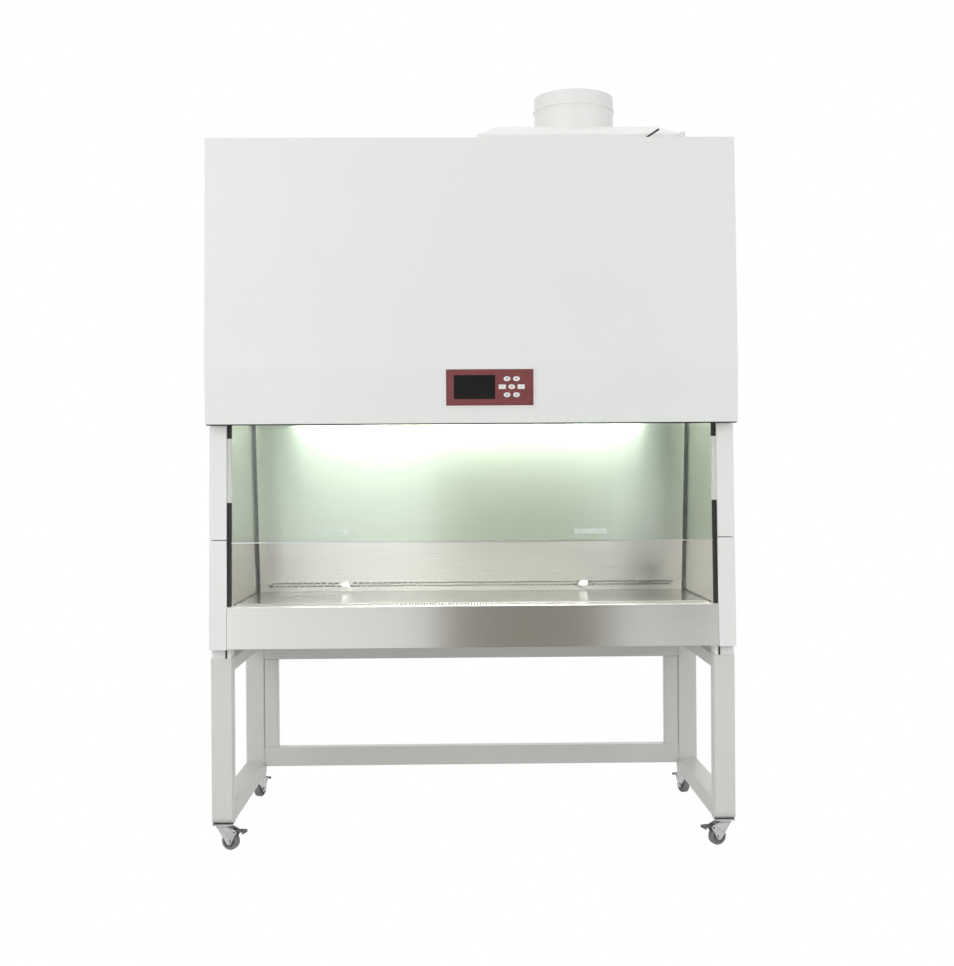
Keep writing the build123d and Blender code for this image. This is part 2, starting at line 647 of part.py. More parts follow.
def make_control_panel():
    width, height = PANEL_SIZE
    face_size = (width - 2 * PANEL_RIM, height - 2 * PANEL_RIM)
    tub_size = (width - 2 * PANEL_TUB_MARGIN, height - 2 * PANEL_TUB_MARGIN)
    inner_size = (tub_size[0] - 2 * PANEL_TUB_WALL, tub_size[1] - 2 * PANEL_TUB_WALL)
    floor = -PANEL_TUB_DEPTH
    rim = RectangleRounded(width, height, PANEL_RIM) - Rectangle(*face_size)
    bezel = layer(rim, 0, 0, 0, PANEL_PROUD)
    bezel += layer(Rectangle(*tub_size) - Rectangle(*inner_size), 0, 0, floor, FACE_LEDGE)
    bezel += layer(Rectangle(*tub_size), 0, 0, floor - SHEET, floor)
    save("control_bezel", bezel)

    face_low = FACE_LEDGE
    face_high = FACE_LEDGE + FACE
    plate = Rectangle(face_size[0] - 2 * PLAY, face_size[1] - 2 * PLAY)
    plate -= Pos(*SCREEN_AT) * Rectangle(SCREEN_SIZE[0] + 2 * PLAY, SCREEN_SIZE[1] + 2 * PLAY)
    for kind, across, up in BUTTONS.values():
        plate -= Pos(across, up) * button_sketch(kind, 2 * PLAY)
    save("control_faceplate", layer(plate, 0, 0, face_low, face_high))

    board_low = floor + BOARD_STANDOFF
    board_high = board_low + BOARD
    board_size = (inner_size[0] - 2 * PLAY, inner_size[1] - 2 * PLAY)
    board = layer(Rectangle(*board_size), 0, 0, board_low, board_high)
    for spot in GridLocations(board_size[0] - 4 * STANDOFF_R, board_size[1] - 4 * STANDOFF_R, 2, 2):
        board += layer(spot * Circle(STANDOFF_R), 0, 0, floor, board_low)
    for kind, across, up in BUTTONS.values():
        board += layer(Rectangle(*SWITCH[:2]), across, up, board_high, board_high + SWITCH[2])
    save("control_board", board)

    screen = layer(Rectangle(*SCREEN_SIZE), *SCREEN_AT, board_high, face_high - SCREEN_RECESS)
    flange = [size + 2 * SCREEN_FLANGE for size in SCREEN_SIZE]
    screen += layer(Rectangle(*flange), *SCREEN_AT, face_low - SCREEN_FLANGE, face_low)
    save("display_screen", screen)

    switch_top = board_high + SWITCH[2]
    for name, (kind, across, up) in BUTTONS.items():
        flange_low = face_low - BUTTON_FLANGE_THICK
        cap = extrude(button_sketch(kind), amount=face_high + BUTTON_PROUD - face_low)
        cap = fillet(cap.faces().sort_by(Axis.Z)[-1].edges(), BUTTON_EDGE_R)
        button = on_band(across, up, face_low) * cap
        button += layer(button_sketch(kind, BUTTON_FLANGE), across, up, flange_low, face_low)
        nub_low = switch_top + BUTTON_TRAVEL + PLAY / 2
        button += layer(Circle(BUTTON_NUB_R), across, up, nub_low, flange_low)
        save(name, button)


def make_sash():
    glass_half = COLUMN_INNER - GUIDE_WEB - SASH_EDGE_GAP
    glass = leaning_slab((-glass_half, glass_half), (SASH_Z, SASH_TOP_Z), SASH_SETBACK, GLASS)
    save("sash_glass", glass)

    handles = []
    for x in HANDLE_X:
        low = SASH_Z + HANDLE_LIFT
        pad = leaning_slab(span(x, HANDLE_LENGTH), (low, low + HANDLE_HEIGHT), SASH_SETBACK - SHEET, SHEET)
        shelf_behind = SASH_SETBACK - HANDLE_DEPTH
        shelf = leaning_slab(span(x, HANDLE_LENGTH), (low, low + HANDLE_THICK), shelf_behind, HANDLE_DEPTH)
        nose = shelf.edges().filter_by(Axis.X).group_by(Axis.Y)[0]
        handles.append(fillet(nose, HANDLE_THICK / 3) + pad)
    save("sash_handles", *handles)

    # A channel clamped over the glass's top edge, with a lug that reaches each belt.
    belt_front = BELT_BEHIND - PULLEY_R - BELT
    low = SASH_TOP_Z - RAIL_HEIGHT
    rail_z = (low, SASH_TOP_Z + RAIL_WALL)
    rail = leaning_slab((-glass_half, glass_half), rail_z, SASH_SETBACK - RAIL_WALL, GLASS + 2 * RAIL_WALL)
    rail -= leaning_slab((-glass_half, glass_half), (low, SASH_TOP_Z), SASH_SETBACK, GLASS)
    lug_back = SASH_SETBACK + GLASS + RAIL_WALL
    rail = trim_ends(rail)
    for x in (-PULLEY_X, PULLEY_X):
        lug_x = span(x, 2 * BELT_WIDTH)
        rail += leaning_slab(lug_x, (low, SASH_TOP_Z), lug_back, belt_front - SEAT_GAP - lug_back)
    save("sash_top_rail", rail)

    guide_z = (WORK_Z + SEAM, GUIDE_TOP_Z)
    guide = leaning_slab((GUIDE_INNER, COLUMN_INNER), guide_z, GUIDE_FRONT, GUIDE_BACK - GUIDE_FRONT)
    groove = (GUIDE_INNER, COLUMN_INNER - GUIDE_WEB)
    guide -= leaning_slab(groove, guide_z, SASH_SETBACK - MOVING_GAP, GLASS + 2 * MOVING_GAP)
    save("sash_guides", *mirrored(guide))


def trim_ends(rail):
    """Keeps the top rail clear of the guides' lips."""
    keep = GUIDE_INNER - SEAM
    return rail & block((-keep, keep), (FRONT, BACK), (CABINET_Z, ROOF_Z))


def belt_plane(x):
    """The leaning plane of a belt loop, with its middle half way between the pulleys."""
    middle = (IDLER_Z + DRIVE_Z) / 2
    lean = math.radians(LEAN_DEG)
    up = (0, math.sin(lean), math.cos(lean))
    return Plane(origin=(x, column_face(middle, BELT_BEHIND), middle), x_dir=up, z_dir=(1, 0, 0))


def make_lift():
    centres = (DRIVE_Z - IDLER_Z) / math.cos(math.radians(LEAN_DEG))
    loop = SlotCenterToCenter(centres, 2 * (PULLEY_R + BELT)) - SlotCenterToCenter(centres, 2 * PULLEY_R)
    belts = [belt_plane(x - BELT_WIDTH / 2) * extrude(loop, amount=BELT_WIDTH) for x in (-PULLEY_X, PULLEY_X)]
    save("lift_belts", *belts)

    drive_y = column_face(DRIVE_Z, BELT_BEHIND)
    idler_y = column_face(IDLER_Z, BELT_BEHIND)
    ear_x = BELT_WIDTH / 2 + 2 * EAR_GAP
    turning_r = PULLEY_R - SEAT_GAP
    shaft_half = PULLEY_X + ear_x + EAR
    shaft = rod(SHAFT_R, (-shaft_half, shaft_half), drive_y, DRIVE_Z)
    for x in (-PULLEY_X, PULLEY_X):
        shaft += rod(turning_r, span(x, BELT_WIDTH + 2 * EAR_GAP), drive_y, DRIVE_Z)
    save("lift_shaft", shaft)

    idlers = []
    for x in (-PULLEY_X, PULLEY_X):
        roller = rod(turning_r, span(x, BELT_WIDTH + 2 * EAR_GAP), idler_y, IDLER_Z)
        roller += rod(SHAFT_R, span(x, 2 * (ear_x + EAR)), idler_y, IDLER_Z)
        idlers.append(roller)
    save("lift_idlers", *idlers)

    plate_behind = LIFT_BACK - EAR
    ear_z = PULLEY_R + BELT
    ear_behind = BELT_BEHIND - PULLEY_R / 2
    plate_x = (PULLEY_X - ear_x - EAR, PANEL_INNER - SEAT_GAP)
    frame = leaning_slab(plate_x, (IDLER_Z - ear_z, DRIVE_Z + ear_z), plate_behind, EAR)
    for z in (IDLER_Z, DRIVE_Z):
        for inner in (PULLEY_X - ear_x - EAR, PULLEY_X + ear_x):
            ear_at = (inner, inner + EAR)
            ear = leaning_slab(ear_at, span(z, 2 * ear_z), ear_behind, plate_behind - ear_behind)
            frame += ear - rod(SHAFT_R + SHAFT_GAP, ear_at, column_face(z, BELT_BEHIND), z)
    box_x = (plate_x[0] - GEARBOX, plate_x[0])
    gearbox = block(box_x, span(drive_y, GEARBOX), span(DRIVE_Z, GEARBOX))
    motor_z = DRIVE_Z - (GEARBOX + LIFT_MOTOR_LENGTH) / 2
    gearbox += Pos(sum(box_x) / 2, drive_y, motor_z) * Cylinder(LIFT_MOTOR_R, LIFT_MOTOR_LENGTH)
    gearbox -= rod(SHAFT_R + SHAFT_GAP, box_x, drive_y, DRIVE_Z)
    save("lift_frames", *mirrored(frame), gearbox)


def make_work_deck():
    """Sill, slotted intake grille, work surface and the pan that carries them."""
    sill_half = COLUMN_INNER - SEAM / 2
    sill_x = (-sill_half, sill_half)
    lip_back = column_face(WORK_Z, GUIDE_BACK)
    front_low = column_face(SILL_BOTTOM_Z, SILL_SETBACK)
    front_high = column_face(WORK_Z, SILL_SETBACK)
    folded = [
        (front_low, SILL_BOTTOM_Z),
        (front_high, WORK_Z),
        (lip_back, WORK_Z),
        (lip_back, WORK_Z - SHEET),
        (front_high + SHEET, WORK_Z - SHEET),
        (front_low + SHEET, SILL_BOTTOM_Z),
    ]
    outline = Polygon(*folded, align=None)
    bend = outline.vertices().filter_by(lambda v: v.X < front_high + SEAM and v.Y > WORK_Z - SEAM)
    sill = yz_plate(fillet(bend, SILL_BEND_R), sill_x)
    sill += block(sill_x, (front_low + SHEET, front_low + SILL_HEM), (SILL_BOTTOM_Z, SILL_BOTTOM_Z + SHEET))
    save("front_sill", sill)

    deck_half = CHAMBER_HALF - 2 * SEAM
    deck_x = (-deck_half, deck_half)
    grille_y = (lip_back + SEAM / 2, lip_back + SEAM / 2 + GRILLE_DEPTH)
    under = WORK_Z - TRAY_FLANGE
    grille = tray(deck_x, grille_y, (under, WORK_Z))
    count = int((2 * deck_half - 2 * GRILLE_MARGIN) / GRILLE_PITCH)
    slot = Box(GRILLE_SLOT, GRILLE_SLOT_LENGTH, 2 * TRAY_FLANGE)
    middle = Pos(0, sum(grille_y) / 2, WORK_Z)
    grille -= [middle * place * slot for place in GridLocations(GRILLE_PITCH, 1, count, 1)]
    save("intake_grille", grille)

    work_y = (grille_y[1] + SEAM / 2, REAR_WALL_Y - SEAM)
    save("work_surface", tray(deck_x, work_y, (under, WORK_Z)))

    pan_x = (-COLUMN_INNER + SEAM / 2, COLUMN_INNER - SEAM / 2)
    pan_y = (front_low + SILL_HEM + SEAT_GAP, BACK - 2 * SHEET)
    pan = block(pan_x, pan_y, (CABINET_Z, under))
    room = [(low + SHEET, high - SHEET) for low, high in (pan_x, pan_y)]
    pan -= block(*room, (CABINET_Z + SHEET, under))
    ledge_x = (pan_x[1] - LEDGE, pan_x[1])
    for ledge in mirrored(block(ledge_x, pan_y, (under - SHEET, under))):
        pan += ledge
    save("base_pan", pan)


def tray(x, y, z):
    """A sheet with its edges turned down all round."""
    room = [(low + SHEET, high - SHEET) for low, high in (x, y)]
    return block(x, y, z) - block(*room, (z[0], z[1] - SHEET))


def make_chamber():
    bottom = WORK_Z + SEAT_GAP
    wall_half = CHAMBER_HALF - SEAT_GAP
    wall_x = (-wall_half, wall_half)
    wall = leaning_slab(wall_x, (bottom, CHAMBER_TOP_Z), 0, SHEET, face=rear_face)
    for z in ((bottom, bottom + SHEET), (CHAMBER_TOP_Z - SHEET, CHAMBER_TOP_Z)):
        wall += leaning_slab(wall_x, z, 0, SILL_HEM, face=rear_face)
    count = int((2 * wall_half - 2 * SLOT_MARGIN) / SLOT_PITCH)
    slot = Box(SLOT_LENGTH, 2 * SILL_HEM, SLOT_HEIGHT)
    for row, height in enumerate(SLOT_ROWS_Z):
        shift = SLOT_PITCH / 4 * (1 if row else -1)
        middle = Pos(shift, rear_face(WORK_Z + height), WORK_Z + height)
        wall -= [middle * place * slot for place in GridLocations(SLOT_PITCH, 1, count, 1)]
    save("chamber_rear_wall", wall)

    clips = []
    for x in CLIP_X:
        z = span(WORK_Z + sum(SLOT_ROWS_Z) / 2, CLIP_SIZE[2])
        clip = leaning_slab(span(x, CLIP_SIZE[0]), z, -CLIP_SIZE[1] / 3, CLIP_SIZE[1] / 3, face=rear_face)
        clips.append(clip)
    save("rear_wall_clips", *clips)

    front = GUIDE_BACK + SEAM
    low = WORK_Z - TRAY_FLANGE
    profile = [
        (column_face(low, front), low),
        (rear_face(low, WALL_TAIL), low),
        (rear_face(CHAMBER_TOP_Z, WALL_TAIL), CHAMBER_TOP_Z),
        (column_face(CHAMBER_TOP_Z, front), CHAMBER_TOP_Z),
    ]
    skin = Polygon(*profile, align=None)
    core = offset(skin, amount=-SHEET, kind=Kind.INTERSECTION)
    side = yz_plate(skin, (CHAMBER_HALF, PANEL_INNER - SEAT_GAP))
    side -= yz_plate(core, (CHAMBER_HALF + SHEET, PANEL_INNER))
    save("chamber_side_walls", *mirrored(side))

    diffuser_y = (column_face(DIFFUSER_Z, front), rear_face(DIFFUSER_Z, WALL_TAIL))
    diffuser_x = (-PANEL_INNER + SEAM, PANEL_INNER - SEAM)
    diffuser = block(diffuser_x, diffuser_y, (DIFFUSER_Z, DIFFUSER_Z + SHEET))
    hole = Box(*DIFFUSER_SLOT, 4 * SHEET)
    middle = Pos(0, sum(supply_y()) / 2, DIFFUSER_Z)
    across = int(2 * (FILTER_HALF - FILTER_FRAME) / DIFFUSER_PITCH[0])
    deep = int((supply_y()[1] - supply_y()[0]) / DIFFUSER_PITCH[1])
    diffuser -= [middle * place * hole for place in GridLocations(*DIFFUSER_PITCH, across, deep)]
    save("air_diffuser", diffuser)


def make_lamps():
    lamp_z = DIFFUSER_Z - LAMP_DROP
    tubes = []
    holders = []
    lamp_y = column_face(CHAMBER_TOP_Z, LAMP_BEHIND)
    uv_y = rear_face(CHAMBER_TOP_Z, -UV_AHEAD)
    for inset, y in ((LAMP_INSET, lamp_y), (UV_INSET, uv_y)):
        end = CHAMBER_HALF - inset
        tubes.append(rod(LAMP_R, (-end, end), y, lamp_z))
        holder_x = (end, end + HOLDER)
        holder_z = (lamp_z - LAMP_R - SHEET, DIFFUSER_Z)
        holder = block(holder_x, span(y, 2 * (LAMP_R + SHEET)), holder_z)
        holders += mirrored(holder)
    save("lamp_tubes", *tubes)
    save("lamp_holders", *holders)


def filter_box(x, y, z):
    """A filter's square frame with its folded medium inside."""
    inner = [(low + FILTER_FRAME, high - FILTER_FRAME) for low, high in (x, y)]
    frame = block(x, y, z) - block(*inner, z)
    count = int((inner[0][1] - inner[0][0]) / PLEAT_PITCH)
    pitch = (inner[0][1] - inner[0][0]) / count
    low = z[0] + SEAM
    high = z[1] - SEAM
    thick = 4 * SHEET
    upper = []
    for fold in range(count):
        start = inner[0][0] + fold * pitch
        upper += [(start, low + thick), (start + pitch / 2, high)]
    upper.append((inner[0][1], low + thick))
    lower = [(px, pz - thick) for px, pz in reversed(upper)]
    medium = xz_plate(Polygon(*upper, *lower, align=None), inner[1])
    return [frame, medium]


def make_supply():
    x = (-FILTER_HALF, FILTER_HALF)
    save("supply_filter", *filter_box(x, supply_y(), (FILTER_Z, PLENUM_Z)))

    plenum = tray(x, supply_y(), (PLENUM_Z, DECK_Z))
    mouth_x = span(BLOWER_X, BLOWER_WIDTH - 2 * SHEET)
    plenum -= block(mouth_x, outlet_span(SHEET), (DECK_Z - 2 * SHEET, DECK_Z + SHEET))
    save("supply_plenum", plenum)


def scroll_radius(degrees):
    """The scroll wall's distance from the blower's axis, growing evenly by ratio."""
    turn = (degrees - SCROLL_START_DEG) / (SCROLL_END_DEG - SCROLL_START_DEG)
    return SCROLL_START_R * (SCROLL_END_R / SCROLL_START_R) ** turn


def scroll_point(degrees, inset=0.0):
    radius = scroll_radius(degrees) - inset
    angle = math.radians(degrees)
    return (radius * math.cos(angle), radius * math.sin(angle))


def outlet_span(inset=0.0):
    """Y span of the blower's outlet, which opens downward at the front of the scroll."""
    return (blower_y() - SCROLL_END_R + inset, blower_y() + scroll_point(SCROLL_START_DEG)[0] - inset)


def scroll_outline(inset=0.0):
    """The spiral and its outlet duct, seen along the axis, drawn in from the wall by inset."""
    step = (SCROLL_END_DEG - SCROLL_START_DEG) / (SCROLL_POINTS - 1)
    points = [scroll_point(SCROLL_START_DEG + step * index, inset) for index in range(SCROLL_POINTS)]
    spiral = make_face([Spline(*points).edge(), Line(points[-1], points[0]).edge()])
    low, high = (y - blower_y() for y in outlet_span(inset))
    outlet = Polygon((low, inset - OUTLET_DROP), (high, inset - OUTLET_DROP), (high, 0), (low, 0), align=None)
    return spiral + outlet


def blade_sketch():
    """One forward-curved blade of the fan wheel, seen along the axis."""
    middle = ((WHEEL_R + WHEEL_INNER_R) / 2, -BLADE)
    tip = math.radians(BLADE_SWEEP_DEG)
    outer = (WHEEL_R * math.cos(tip), WHEEL_R * math.sin(tip))
    return trace(ThreePointArc((WHEEL_INNER_R + BLADE, 0), middle, outer), line_width=BLADE)


def make_blower():
    place = Pos(blower_y(), BLOWER_Z)
    x = span(BLOWER_X, BLOWER_WIDTH)
    housing = yz_plate(place * scroll_outline(), x)
    housing -= yz_plate(place * scroll_outline(SHEET), (x[0] + SHEET, x[1] - SHEET))
    housing -= rod(INLET_R, (x[0] - SHEET, x[1] + SHEET), blower_y(), BLOWER_Z)
    housing -= block((x[0] + SHEET, x[1] - SHEET), outlet_span(SHEET), (DECK_Z - SHEET, DECK_Z + 2 * SHEET))
    save("blower_housing", housing)

    wheel_x = span(BLOWER_X, WHEEL_WIDTH)
    ring = Circle(WHEEL_R) - Circle(WHEEL_INNER_R)
    wheel = yz_plate(place * Circle(WHEEL_R - BLADE), span(BLOWER_X, WHEEL_PLATE))
    wheel += yz_plate(place * ring, (wheel_x[0], wheel_x[0] + WHEEL_PLATE))
    wheel += yz_plate(place * ring, (wheel_x[1] - WHEEL_PLATE, wheel_x[1]))
    blades = [place * Rot(0, 0, 360 / BLADE_COUNT * index) * blade_sketch() for index in range(BLADE_COUNT)]
    wheel += [yz_plate(blade, wheel_x) for blade in blades]
    wheel &= rod(WHEEL_R, wheel_x, blower_y(), BLOWER_Z)
    motor_x = (x[1] + MOTOR_GAP, x[1] + MOTOR_GAP + MOTOR_LENGTH)
    wheel += rod(WHEEL_HUB_R, span(BLOWER_X, 3 * WHEEL_HUB_R), blower_y(), BLOWER_Z)
    wheel += rod(SHAFT_R, (BLOWER_X, motor_x[0] + NOSE_LENGTH), blower_y(), BLOWER_Z)
    save("blower_impeller", wheel)

    motor = rod(MOTOR_R, motor_x, blower_y(), BLOWER_Z)
    motor = fillet(motor.edges(), TUBE_CORNER_R)
    nose_x = (motor_x[0] - SEAM, motor_x[0] + NOSE_LENGTH + SEAM)
    motor -= rod(SHAFT_R + SHAFT_GAP, nose_x, blower_y(), BLOWER_Z)
    foot_y = (blower_y() - MOTOR_FOOT, blower_y())
    foot = block(motor_x, foot_y, (DECK_Z, DECK_Z + 2 * SHEET))
    post_x = span(sum(motor_x) / 2, MOTOR_R)
    post = block(post_x, (foot_y[0], blower_y() - MOTOR_R / 2), (DECK_Z, BLOWER_Z))
    save("blower_motor", motor + foot + (post - rod(MOTOR_R, post_x, blower_y(), BLOWER_Z)))


def plenum_solid(shrink):
    """The exhaust plenum's outside, or its inside when shrunk by the sheet."""
    knee_z = ROOF_Z + PLENUM_BOX_HEIGHT
    top_z = PLENUM_TOP_Z - shrink
    middle = Pos(EXHAUST_X, EXHAUST_Y)
    base = [size - 2 * shrink for size in PLENUM_BASE]
    top = [size - 2 * shrink for size in PLENUM_TOP]
    box = block(span(EXHAUST_X, base[0]), span(EXHAUST_Y, base[1]), (ROOF_Z, knee_z))
    low_edge = Plane.XY.offset(knee_z) * middle * Rectangle(*base)
    high_edge = Plane.XY.offset(top_z) * middle * Rectangle(*top)
    slope = loft([low_edge, high_edge])
    return box + slope


def make_exhaust():
    middle = Pos(EXHAUST_X, EXHAUST_Y)
    plenum = plenum_solid(0)
    flange = [size + 2 * PLENUM_FLANGE for size in PLENUM_BASE]
    plenum += block(span(EXHAUST_X, flange[0]), span(EXHAUST_Y, flange[1]), (ROOF_Z, ROOF_Z + SHEET))
    plenum -= plenum_solid(SHEET)
    hole_height = 2 * COLLAR_FOOT
    plenum -= middle * Pos(0, 0, PLENUM_TOP_Z) * Cylinder(COLLAR_R + SHAFT_GAP, hole_height)
    save("exhaust_plenum", plenum)

    collar_z = PLENUM_TOP_Z - COLLAR_FOOT + SEAM
    height = COLLAR_TOP_Z - collar_z
    collar = Cylinder(COLLAR_R, height)
    collar += Pos(0, 0, height / 2 - BEAD_DROP) * Torus(COLLAR_R, BEAD_R)
    collar -= Cylinder(COLLAR_R - SHEET, height)
    save("exhaust_collar", middle * Pos(0, 0, collar_z + height / 2) * collar)

    filter_z = (ROOF_Z - SHEET - EXHAUST_FILTER[2], ROOF_Z - SHEET)
    filter_x = span(EXHAUST_X, EXHAUST_FILTER[0])
    save("exhaust_filter", *filter_box(filter_x, span(EXHAUST_Y, EXHAUST_FILTER[1]), filter_z))

    points = [(EXHAUST_X + x, EXHAUST_Y + y, ROOF_Z + z) for x, y, z in TUBE_ROUTE]
    route = FilletPolyline(*points, radius=TUBE_BEND_R)
    hose = sweep((route ^ 0) * Circle(TUBE_R), path=route)
    hose -= plenum_solid(0)
    peg = Pos(0, EXHAUST_Y - PEG_AHEAD, ROOF_Z + PEG_HEIGHT / 2) * Cylinder(PEG_R, PEG_HEIGHT)
    pegs = [Pos(HALF - inset, 0, 0) * peg for inset in PEG_INSETS]
    save("roof_fittings", *pegs, hose)


def main():
    os.makedirs("parts", exist_ok=True)
    make_stand()
    make_casters()
    make_columns()
    make_shell()
    make_hood()
    make_control_panel()
    make_sash()
    make_lift()
    make_work_deck()
    make_chamber()
    make_lamps()
    make_supply()
    make_blower()
    make_exhaust()


main()
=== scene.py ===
import json
import math

import bmesh
import bpy
from mathutils import Matrix, Vector


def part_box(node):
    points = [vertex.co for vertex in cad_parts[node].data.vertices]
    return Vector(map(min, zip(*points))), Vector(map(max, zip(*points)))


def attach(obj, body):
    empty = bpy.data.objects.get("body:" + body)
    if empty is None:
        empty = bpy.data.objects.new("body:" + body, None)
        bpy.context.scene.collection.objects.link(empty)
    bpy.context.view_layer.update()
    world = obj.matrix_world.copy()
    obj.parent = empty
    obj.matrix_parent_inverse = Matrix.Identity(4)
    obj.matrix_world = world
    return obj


# Looks for a free-standing biological safety cabinet on a wheeled stand.
# Metres. X runs to the right, Y to the back, Z up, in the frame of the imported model.

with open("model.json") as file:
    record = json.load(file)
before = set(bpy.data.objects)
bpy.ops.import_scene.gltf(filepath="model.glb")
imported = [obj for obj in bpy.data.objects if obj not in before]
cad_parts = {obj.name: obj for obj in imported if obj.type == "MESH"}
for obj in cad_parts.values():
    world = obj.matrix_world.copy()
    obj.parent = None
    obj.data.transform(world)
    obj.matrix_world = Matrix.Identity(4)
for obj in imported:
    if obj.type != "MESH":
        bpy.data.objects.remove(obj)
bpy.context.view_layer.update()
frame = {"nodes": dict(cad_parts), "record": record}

# The image, and the camera that sees the cabinet as the photograph does
IMAGE = (954, 966)
SENSOR = 36.0
FOCAL_PX = 1246.0
CAMERA_AT = (-0.039, -3.876, 1.043)
CAMERA_YAW_DEG = 0.84
CAMERA_ROLL_DEG = 0.37

# Colours, as linear values
WHITE_PAINT = (0.80, 0.81, 0.79)
STAND_PAINT = (0.665, 0.668, 0.635)
STEEL = (0.82, 0.81, 0.78)
BLACK = (0.015, 0.014, 0.014)
GUIDE_PALE = (0.74, 0.75, 0.73)
GLASS_TINT = (0.89, 0.95, 0.90)
LAMP_WHITE = (1.0, 1.0, 0.97)

GLASS_ROUGHNESS = 0.06
GLASS_IOR = 1.5
LAMP_STRENGTH = 60.0

# Brushed lines: cycles per metre along and across the grain, and how far they smear a reflection
LINES_ALONG = 6.0
LINES_ACROSS = 900.0
STRONG_SMEAR = 0.95
WEAK_SMEAR = 0.5

# The sash guides are black, pale and black again up their height
GUIDE_SPAN = (0.60, 1.90)
GUIDE_PALE_Z = (0.988, 1.17)

# On the roof, X parts the dark tube from the pale pegs
FITTING_SPAN = (0.4, 0.8)
PEG_X = 0.6

# Front plane of the columns, the sash behind it, the rear wall, and the chamber. A lean is Y per Z.
FRONT_Y = -0.348
FRONT_Z = 0.575
FRONT_LEAN = 0.04366
GLASS_BEHIND = 0.014
GLASS_THICK = 0.006
REAR_Y = 0.150
REAR_LEAN = -0.1405
CHAMBER_HALF = 0.688
WORK_Z = 0.695
CHAMBER_TOP_Z = 1.336

# Painted shade: a black strip under the hood's lip, dark strips and black wedges in the chamber's corners,
# black L-pieces in the gaps on the stand. Painted highlight: a bright strip along the bottom edge of the
# glass
LIP_SHADE = ((-0.3680, -0.3640), (1.2085, 1.2122))
LIP_SHADE_HALF = 0.747
CORNER_SHADE_WIDTH = 0.008
CORNER_SHADE_DEPTH = 0.002
FLOOR_SHADE = 0.004
FLOOR_SHADE_Y = (-0.285, 0.144)
GLASS_GLINT_Z = (0.8747, 0.8778)
GLASS_GLINT_PROUD = 0.0006
GAP_SHADE_X = (0.7245, 0.7015)
GAP_SHADE_THICK = 0.005
GAP_SHADE_SHEET = 0.0016
GAP_SHADE_Z = (0.5471, 0.5749)
GAP_SHADE_Y = (-0.3195, -0.2700)

# Marks on the buttons, whose faces lean as the hood does
BUTTON_LEAN = 0.0452
MARK_PROUD = 0.0002
MARK_DEPTH = 0.0008
MARK_R = 0.0021
ROUND_SIDES = 20

# Eased edges
STRIP_EDGE = 0.0004
GLASS_GLINT_EDGE = 0.0003
FLOOR_SHADE_EDGE = 0.0002
MARK_EDGE = 0.00005

# The room: plain light, and dark upright things far in front that metal mirrors.
# Each has its sides, in degrees towards +X from the way the cabinet faces, and how much light it leaves.
WORLD_LIGHT = 0.62
ROOM_SWEEP_DEG = 30.0
ROOM_DARK = ((-1.0, 6.5, 0.0), (8.0, 14.0, 0.15))

# Dark cards in front: name, sides, bottom and top, sides of the near end on the floor, colour
FLAG_Y = -2.9
FLAG_END_Y = -0.45
FLAGS = (
    ("flag_middle", (-0.16, 0.72), (0.004, 4.2), (-0.10, 0.40), (0.27, 0.26, 0.22)),
    ("flag_right", (0.97, 1.27), (0.50, 4.2), None, (0.03, 0.027, 0.025)),
)

# Soft lamps: name, place, size, power in watts
LAMP_AIM_Z = 1.1
LAMPS = (
    ("key_left", (-2.6, -3.2, 2.2), (2.2, 2.2), 44.0),
    ("fill_right", (2.8, -3.0, 1.8), (2.0, 2.4), 28.0),
    ("top", (0.0, -0.4, 4.4), (3.0, 2.4), 26.0),
    ("behind", (0.4, 3.6, 2.4), (3.0, 2.4), 34.0),
)

FLOOR_HALF = 30.0
FLOOR_GREY = 0.75


